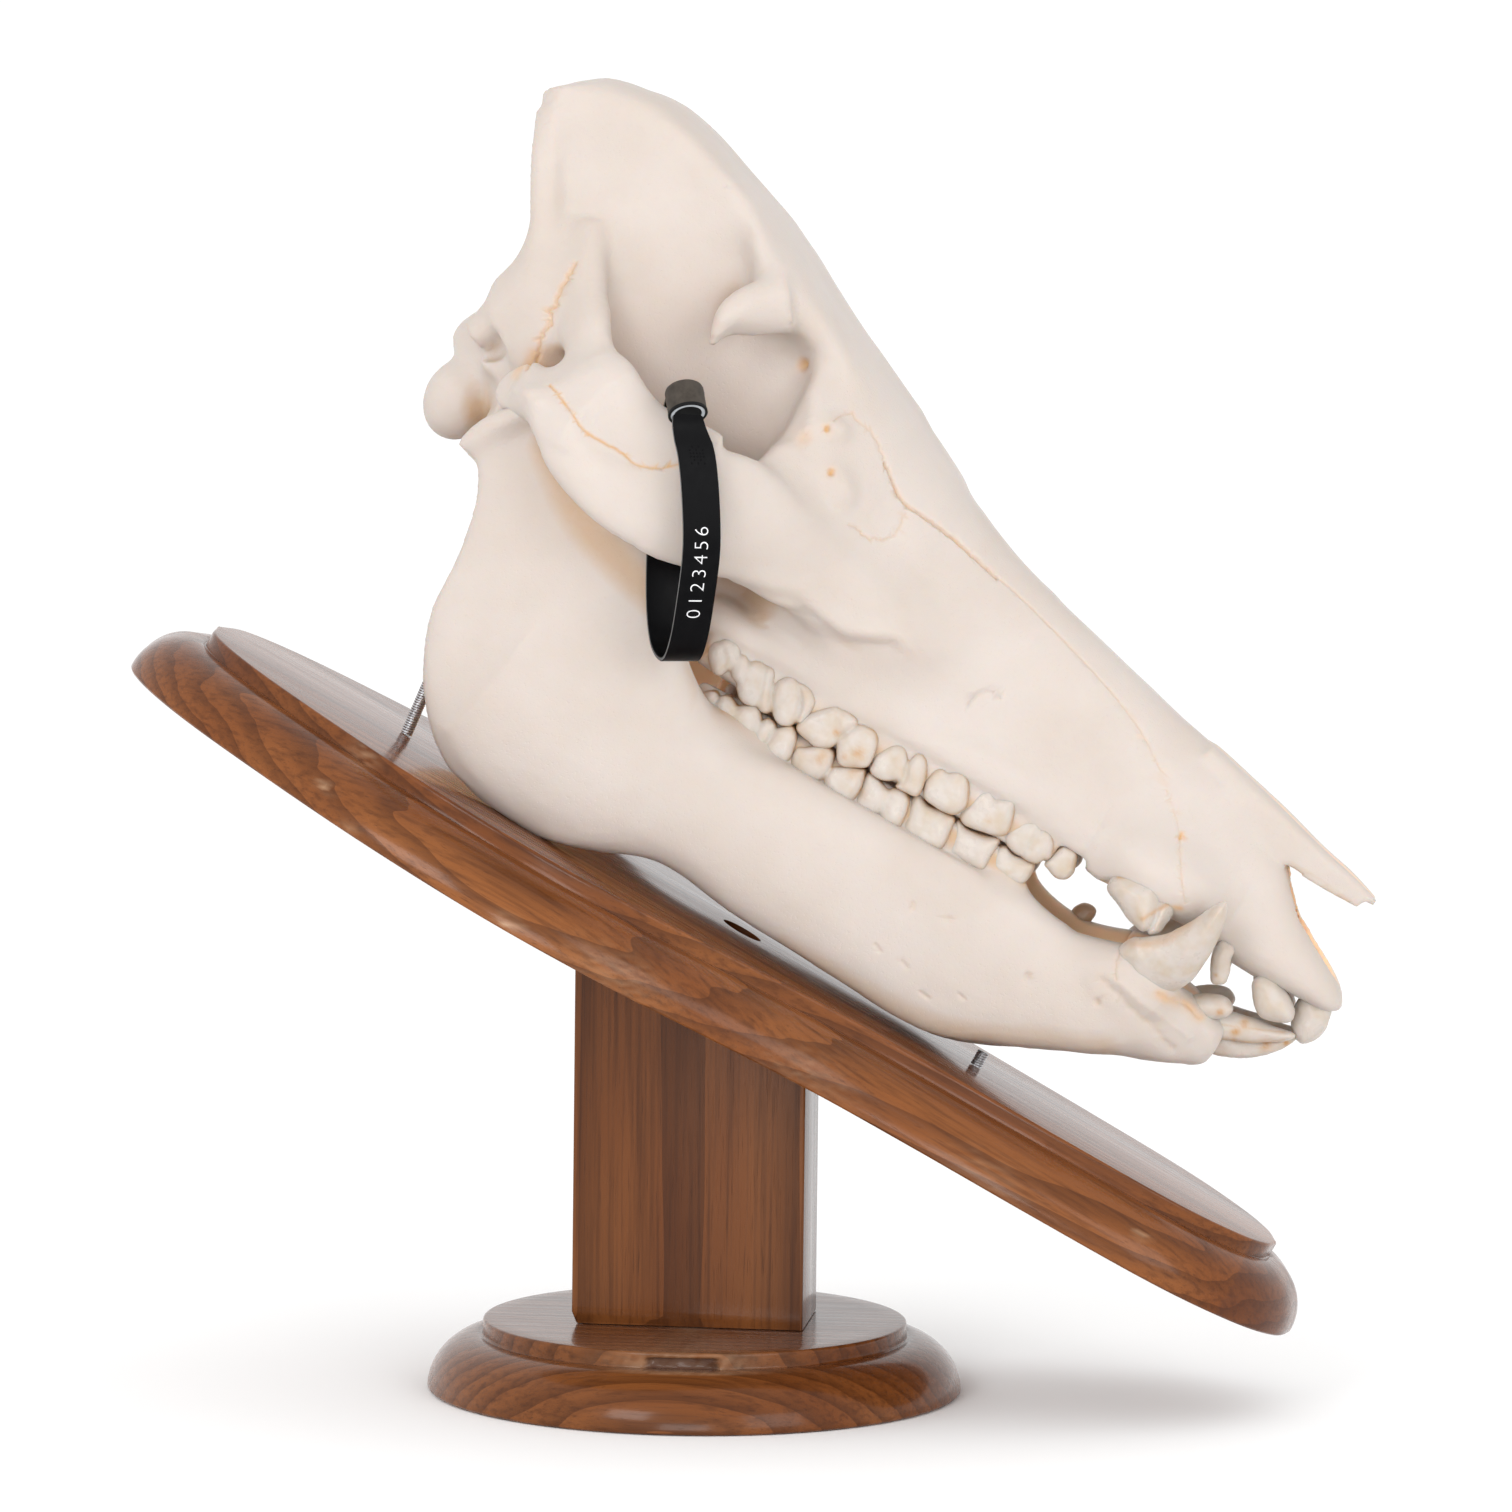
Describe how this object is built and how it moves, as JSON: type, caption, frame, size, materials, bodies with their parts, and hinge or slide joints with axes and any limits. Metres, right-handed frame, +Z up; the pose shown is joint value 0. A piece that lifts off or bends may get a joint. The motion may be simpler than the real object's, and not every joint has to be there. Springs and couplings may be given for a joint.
{
  "type": "mounted animal skull",
  "caption": "Pig skull with its lower jaw, standing on a sloping walnut board on a square post and a round foot, with a black plastic tag band round one cheek arch.",
  "frame": {"origin": "centre of the round foot's underside", "axes": "+Z up, +X towards the snout and down the board's slope, +Y to the skull's left side; the skull's right side faces -Y"},
  "size_m": [0.3729, 0.1868, 0.3915],
  "materials": {
    "bone": "dry cleaned bone, cream with orange tints in its recesses",
    "tooth": "enamel, ivory with brown stains between the teeth",
    "wood": "satin varnished walnut with straight grain",
    "steel": "zinc plated threaded rod",
    "band": "black flexible plastic strap",
    "cap": "dark grey moulded plastic"
  },
  "bodies": {
    "root": {"base": "wood", "cranium": "bone", "front_stud": "steel", "lower_canine_left": "tooth", "lower_canine_right": "tooth", "lower_incisor_1_left": "tooth", "lower_incisor_1_right": "tooth", "lower_incisor_2_left": "tooth", "lower_incisor_2_right": "tooth", "lower_incisor_3_left": "tooth", "lower_incisor_3_right": "tooth", "lower_molar_1_left": "tooth", "lower_molar_1_right": "tooth", "lower_molar_2_left": "tooth", "lower_molar_2_right": "tooth", "lower_molar_3_left": "tooth", "lower_molar_3_right": "tooth", "lower_premolar_1_left": "tooth", "lower_premolar_2_left": "tooth", "lower_premolar_2_right": "tooth", "lower_premolar_3_left": "tooth", "lower_premolar_3_right": "tooth", "lower_premolar_4_left": "tooth", "lower_premolar_4_right": "tooth", "mandible": "bone", "plaque": "wood", "post": "wood", "rear_rod": "steel", "tag_band": "band", "tag_cap": "cap", "upper_canine_left": "tooth", "upper_canine_right": "tooth", "upper_incisor_1_left": "tooth", "upper_incisor_1_right": "tooth", "upper_incisor_2_left": "tooth", "upper_incisor_2_right": "tooth", "upper_incisor_3_left": "tooth", "upper_incisor_3_right": "tooth", "upper_molar_1_left": "tooth", "upper_molar_1_right": "tooth", "upper_molar_2_left": "tooth", "upper_molar_2_right": "tooth", "upper_molar_3_left": "tooth", "upper_molar_3_right": "tooth", "upper_premolar_1_left": "tooth", "upper_premolar_1_right": "tooth", "upper_premolar_2_left": "tooth", "upper_premolar_2_right": "tooth", "upper_premolar_3_left": "tooth", "upper_premolar_3_right": "tooth", "upper_premolar_4_left": "tooth", "upper_premolar_4_right": "tooth"}
  },
  "joints": []
}
